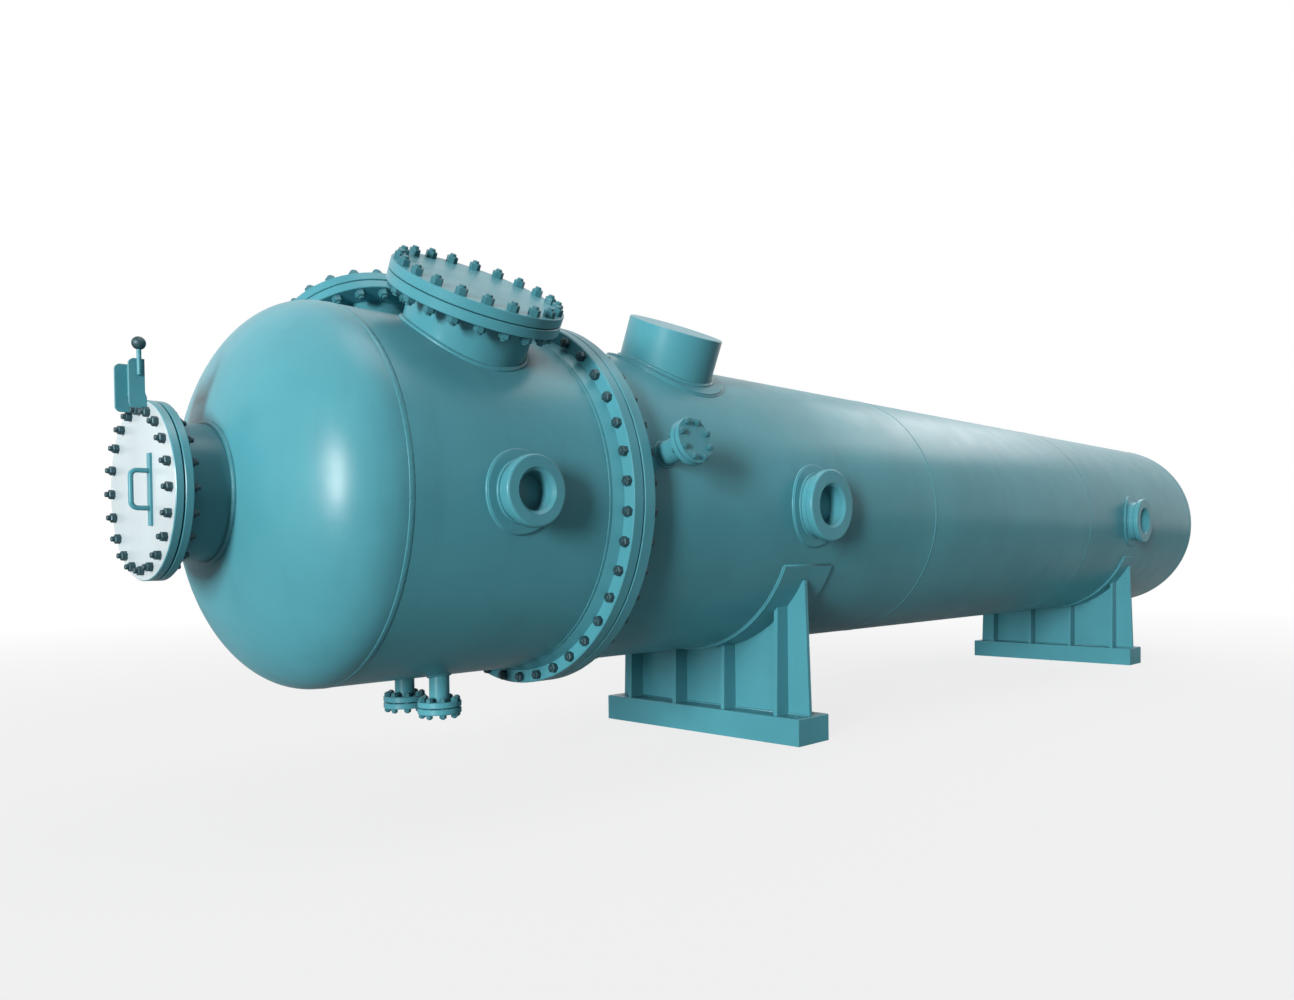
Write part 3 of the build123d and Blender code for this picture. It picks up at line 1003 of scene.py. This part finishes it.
def weathering_group():
    """Blotches, rain streaks, dust on top and the slow waves of rolled plate, in one group."""
    group = bpy.data.node_groups.new("heater_weathering", "ShaderNodeTree")
    sockets = (
        ("Paint", "INPUT", "NodeSocketColor"),
        ("Dust Colour", "INPUT", "NodeSocketColor"),
        ("Dust", "INPUT", "NodeSocketFloat"),
        ("Streaks", "INPUT", "NodeSocketFloat"),
        ("Colour", "OUTPUT", "NodeSocketColor"),
        ("Roughness", "OUTPUT", "NodeSocketFloat"),
        ("Height", "OUTPUT", "NodeSocketFloat"),
    )
    for name, way, kind in sockets:
        group.interface.new_socket(name=name, in_out=way, socket_type=kind)
    start = group.nodes.new("NodeGroupInput").outputs
    end = group.nodes.new("NodeGroupOutput").inputs
    place = group.nodes.new("ShaderNodeTexCoord").outputs["Object"]
    normal = group.nodes.new("ShaderNodeNewGeometry").outputs["Normal"]

    blotch = noise(group, place, scale=1.3, detail=4, roughness=0.55)
    blotch = ranged(group, blotch, given=(0.35, 0.68), wanted=(0.90, 1.08))
    tone = scaled(group, start["Paint"], blotch)

    # Streaks run down the walls: the pattern is stretched along Z
    stretch = group.nodes.new("ShaderNodeMapping")
    stretch.inputs["Scale"].default_value = (7.0, 7.0, 0.45)
    link(group, place, stretch.inputs["Vector"])
    streak = noise(group, stretch.outputs["Vector"], scale=1.0, detail=3, roughness=0.5)
    streak = ranged(group, streak, given=(0.55, 0.80), wanted=(0.0, 1.0))
    streak = joined(group, "MULTIPLY", streak, start["Streaks"])
    tone = scaled(group, tone, ranged(group, streak, given=(0.0, 1.0), wanted=(1.0, 0.74)))

    # Dust settles where the surface looks up
    split = group.nodes.new("ShaderNodeSeparateXYZ")
    link(group, normal, split.inputs["Vector"])
    upward = ranged(group, split.outputs["Z"], given=(0.35, 1.0), wanted=(0.0, 1.0))
    patch = noise(group, place, scale=3.2, detail=4, roughness=0.55)
    patch = ranged(group, patch, given=(0.35, 0.75), wanted=(0.35, 1.0))
    dust = joined(group, "MULTIPLY", joined(group, "MULTIPLY", upward, patch), start["Dust"])
    cover = colour_mix(group, dust)
    link(group, tone, cover.inputs[MIX_A])
    link(group, start["Dust Colour"], cover.inputs[MIX_B])
    link(group, cover.outputs[MIX_RESULT], end["Colour"])

    # Dust dulls the paint, and the paint's own sheen is a little uneven
    rough = ranged(group, dust, given=(0.0, 1.0), wanted=(0.32, 0.60))
    sheen = noise(group, place, scale=6.0, detail=2, roughness=0.5)
    sheen = ranged(group, sheen, given=(0.3, 0.7), wanted=(-0.03, 0.03))
    link(group, joined(group, "ADD", rough, sheen), end["Roughness"])
    link(group, noise(group, place, scale=2.3, detail=2, roughness=0.5), end["Height"])
    return group


def new_material(name):
    """A new material with its tree and shader."""
    material = bpy.data.materials.new(name)
    material.use_nodes = True
    tree = material.node_tree
    return material, tree, tree.nodes["Principled BSDF"]


def painted(name, group, colour, dust_colour, dust, streaks, gloss):
    """Paint under the shared weathering."""
    material, tree, shader = new_material(name)
    weather = tree.nodes.new("ShaderNodeGroup")
    weather.name = "weather"
    weather.node_tree = group
    weather.inputs["Paint"].default_value = (*colour, 1)
    weather.inputs["Dust Colour"].default_value = (*dust_colour, 1)
    weather.inputs["Dust"].default_value = dust
    weather.inputs["Streaks"].default_value = streaks
    link(tree, weather.outputs["Colour"], shader.inputs["Base Color"])
    link(tree, weather.outputs["Roughness"], shader.inputs["Roughness"])
    shader.inputs["Specular IOR Level"].default_value = gloss
    relief = tree.nodes.new("ShaderNodeBump")
    relief.name = "relief"
    relief.inputs["Strength"].default_value = 0.2
    relief.inputs["Distance"].default_value = 0.01
    link(tree, weather.outputs["Height"], relief.inputs["Height"])
    link(tree, relief.outputs["Normal"], shader.inputs["Normal"])
    return material


def faced_paint(group, look):
    """Pale paint on the face that looks out from the water box, and vessel paint on its rim."""
    material = painted(
        "cover_paint", group, look.paint, look.dust, dust=0.2, streaks=0.25, gloss=look.cover_gloss
    )
    tree = material.node_tree
    split = tree.nodes.new("ShaderNodeSeparateXYZ")
    link(tree, tree.nodes.new("ShaderNodeNewGeometry").outputs["Normal"], split.inputs["Vector"])
    front = ranged(tree, split.outputs["X"], given=(-0.92, -0.98), wanted=(0.0, 1.0))
    face = colour_mix(tree, front)
    face.inputs[MIX_A].default_value = (*look.paint, 1)
    face.inputs[MIX_B].default_value = (*look.cover_paint, 1)
    link(tree, face.outputs[MIX_RESULT], tree.nodes["weather"].inputs["Paint"])
    return material


def weld_paint(group, look):
    """Painted weld metal with its ripples."""
    colour = shaded(look.paint, look.weld_shade)
    material = painted(
        "weld_paint", group, colour, look.dust, dust=0.1, streaks=0.2, gloss=look.small_gloss
    )
    tree = material.node_tree
    place = tree.nodes.new("ShaderNodeTexCoord").outputs["Object"]
    relief = tree.nodes["relief"]
    relief.inputs["Strength"].default_value = 0.45
    relief.inputs["Distance"].default_value = 0.004
    link(tree, noise(tree, place, scale=75.0, detail=1, roughness=0.4), relief.inputs["Height"])


def patched(name, scale, dark, light, rough, metallic):
    """A bare surface with a patchy tone."""
    material, tree, shader = new_material(name)
    place = tree.nodes.new("ShaderNodeTexCoord").outputs["Object"]
    patch = noise(tree, place, scale, detail=4, roughness=0.6)
    ramp = tree.nodes.new("ShaderNodeValToRGB")
    low, high = ramp.color_ramp.elements
    low.position, low.color = 0.35, (*dark, 1)
    high.position, high.color = 0.78, (*light, 1)
    link(tree, patch, ramp.inputs["Fac"])
    link(tree, ramp.outputs["Color"], shader.inputs["Base Color"])
    uneven = ranged(tree, patch, given=(0.3, 0.7), wanted=(rough - 0.1, rough + 0.1))
    link(tree, uneven, shader.inputs["Roughness"])
    shader.inputs["Metallic"].default_value = metallic
    return material


class HEATER_OT_finishes(bpy.types.Operator):
    """Makes the finishes and puts them on the solids by their slots"""

    bl_idname = "heater.finishes"
    bl_label = "Finishes"

    def execute(self, context):
        look = settings("heater_finish")
        group = weathering_group()
        # Painted shade: the nuts' paint is the vessel's paint darkened, standing in for the shade
        # that the nuts sit in
        nut_shaded_colour = shaded(look.paint, look.nut_painted_shade)
        painted(
            "nut_paint", group, nut_shaded_colour, look.dust, dust=0.2, streaks=0.2, gloss=look.small_gloss
        )
        weld_paint(group, look)
        by_slot = {
            "teal_paint": painted(
                "teal_paint", group, look.paint, look.dust, dust=0.1, streaks=0.4, gloss=look.gloss
            ),
            "cover_paint": faced_paint(group, look),
            "dark_steel": patched(
                "nut_steel",
                scale=38.0,
                dark=look.nut_steel,
                light=shaded(look.nut_steel, 2),
                rough=0.5,
                metallic=0.3,
            ),
            "gasket": patched(
                "joint_sheet",
                scale=120.0,
                dark=look.gasket_sheet,
                light=look.gasket_fibre,
                rough=0.8,
                metallic=0.0,
            ),
        }
        for part in frame["record"]["subparts"]:
            mesh = frame["nodes"][part["node"]].data
            mesh.materials.clear()
            mesh.materials.append(by_slot[part["material_slot"]])
        return {"FINISHED"}


# Studio


def lamp(look, kind):
    """A soft rectangular lamp with the place, aim, size and power that its kind has."""
    place, aim = Vector(getattr(look, kind + "_place")), Vector(getattr(look, kind + "_aim"))
    data = bpy.data.lights.new(kind + "_lamp", "AREA")
    data.shape = "RECTANGLE"
    data.size, data.size_y = getattr(look, kind + "_size")
    data.energy = getattr(look, kind + "_power")
    data.color = look.lamp_colour
    lit = bpy.data.objects.new(kind + "_lamp", data)
    lit.location = place
    lit.rotation_euler = (aim - place).to_track_quat("-Z", "Y").to_euler()
    bpy.context.scene.collection.objects.link(lit)


def seen_directly(tree, mirrored):
    """One where a ray comes straight from the camera, and a share by way of gloss or glass."""
    path = tree.nodes.new("ShaderNodeLightPath").outputs
    bounced = joined(tree, "MAXIMUM", path["Is Glossy Ray"], path["Is Transmission Ray"])
    bounced = ranged(tree, bounced, given=(0.0, 1.0), wanted=(0.0, mirrored))
    return joined(tree, "MAXIMUM", path["Is Camera Ray"], bounced)


def new_floor(look):
    """A pale floor that keeps the shadow near the heater and turns to plain white far from it."""
    bm = bmesh.new()
    bmesh.ops.create_grid(bm, x_segments=1, y_segments=1, size=look.floor_half)
    mesh = bpy.data.meshes.new("floor")
    bm.to_mesh(mesh)
    bm.free()
    floor = bpy.data.objects.new("floor", mesh)
    bpy.context.scene.collection.objects.link(floor)
    ground, tree, shader = new_material("floor_paint")
    shader.inputs["Base Color"].default_value = (*look.floor_paint, 1)
    shader.inputs["Roughness"].default_value = 0.9
    glow = tree.nodes.new("ShaderNodeEmission")
    away = tree.nodes.new("ShaderNodeVectorMath")
    away.operation = "LENGTH"
    link(tree, tree.nodes.new("ShaderNodeTexCoord").outputs["Object"], away.inputs[0])
    fade = (look.fade_from, look.fade_to)
    share = ranged(tree, away.outputs["Value"], given=fade, wanted=(look.floor_glow, 1.0))
    blend = tree.nodes.new("ShaderNodeMixShader")
    seen = seen_directly(tree, look.floor_mirrored)
    link(tree, joined(tree, "MULTIPLY", seen, share), blend.inputs["Fac"])
    link(tree, shader.outputs["BSDF"], blend.inputs[1])
    link(tree, glow.outputs["Emission"], blend.inputs[2])
    link(tree, blend.outputs["Shader"], tree.nodes["Material Output"].inputs["Surface"])
    mesh.materials.append(ground)


def new_world(look):
    """Soft light from all round, stronger from behind, and seen as plain white."""
    world = bpy.data.worlds.new("studio")
    world.use_nodes = True
    bpy.context.scene.world = world
    tree = world.node_tree
    soft = tree.nodes["Background"]
    soft.inputs["Color"].default_value = (*look.fill_colour, 1)

    # The near side gives the fill, and the light grows to the back fill well behind the heater
    side = tree.nodes.new("ShaderNodeSeparateXYZ")
    link(tree, tree.nodes.new("ShaderNodeTexCoord").outputs["Generated"], side.inputs["Vector"])
    strength = ranged(tree, side.outputs["Y"], given=(0.0, 0.7), wanted=(look.fill, look.back_fill))
    link(tree, strength, soft.inputs["Strength"])

    white = tree.nodes.new("ShaderNodeBackground")
    white.inputs["Color"].default_value = (1, 1, 1, 1)
    mix = tree.nodes.new("ShaderNodeMixShader")
    link(tree, seen_directly(tree, 1.0), mix.inputs["Fac"])
    link(tree, soft.outputs["Background"], mix.inputs[1])
    link(tree, white.outputs["Background"], mix.inputs[2])
    link(tree, mix.outputs["Shader"], tree.nodes["World Output"].inputs["Surface"])


def new_camera(look):
    """The camera at the photograph's viewing angle."""
    data = bpy.data.cameras.new("camera")
    data.lens = look.lens
    data.sensor_width = SENSOR_WIDTH
    data.shift_x, data.shift_y = look.shift
    data.clip_start, data.clip_end = NEAREST, FARTHEST
    camera = bpy.data.objects.new("camera", data)
    camera.location = look.eye
    level = Euler((pi / 2 + look.pitch, 0, -look.heading)).to_matrix()
    camera.rotation_euler = (level @ Matrix.Rotation(look.roll, 3, "Z")).to_euler()
    bpy.context.scene.collection.objects.link(camera)
    bpy.context.scene.camera = camera


class HEATER_OT_studio(bpy.types.Operator):
    """Pale floor, soft lamps, white background and the camera"""

    bl_idname = "heater.studio"
    bl_label = "Studio"

    def execute(self, context):
        look = settings("heater_studio")
        context.scene.view_settings.view_transform = "Standard"
        new_floor(look)
        new_world(look)
        for kind in ("key", "top", "tail"):
            lamp(look, kind)
        new_camera(look)
        return {"FINISHED"}


class HEATER_PT_panel(bpy.types.Panel):
    """Lists the heater's pieces and their sizes"""

    bl_label = "Feedwater heater"
    bl_idname = "HEATER_PT_panel"
    bl_space_type = "VIEW_3D"
    bl_region_type = "UI"
    bl_category = "Heater"

    def draw(self, context):
        for operator in OPERATORS:
            self.layout.operator(operator.bl_idname)
        for name, kind in GROUPS.items():
            for key in kind.__annotations__:
                self.layout.prop(getattr(context.scene, name), key)


GROUPS = {
    "heater_bolting": HeaterBolting,
    "heater_welds": HeaterWelds,
    "heater_finish": HeaterFinish,
    "heater_studio": HeaterStudio,
}

# In the order that they run: the finishes come first, because every new piece takes one
OPERATORS = (
    HEATER_OT_finishes,
    HEATER_OT_girth_studs,
    HEATER_OT_manway_studs,
    HEATER_OT_water_studs,
    HEATER_OT_small_studs,
    HEATER_OT_seam_welds,
    HEATER_OT_branch_welds,
    HEATER_OT_saddle_welds,
    HEATER_OT_studio,
)


def register():
    for name, group in GROUPS.items():
        bpy.utils.register_class(group)
        setattr(bpy.types.Scene, name, PointerProperty(type=group))
    for operator in OPERATORS:
        bpy.utils.register_class(operator)
    bpy.utils.register_class(HEATER_PT_panel)


def unregister():
    bpy.utils.unregister_class(HEATER_PT_panel)
    for operator in reversed(OPERATORS):
        bpy.utils.unregister_class(operator)
    for name, group in GROUPS.items():
        delattr(bpy.types.Scene, name)
        bpy.utils.unregister_class(group)


def main():
    register()
    for operator in OPERATORS:
        group, name = operator.bl_idname.split(".")
        getattr(getattr(bpy.ops, group), name)()


if __name__ == "__main__":
    main()
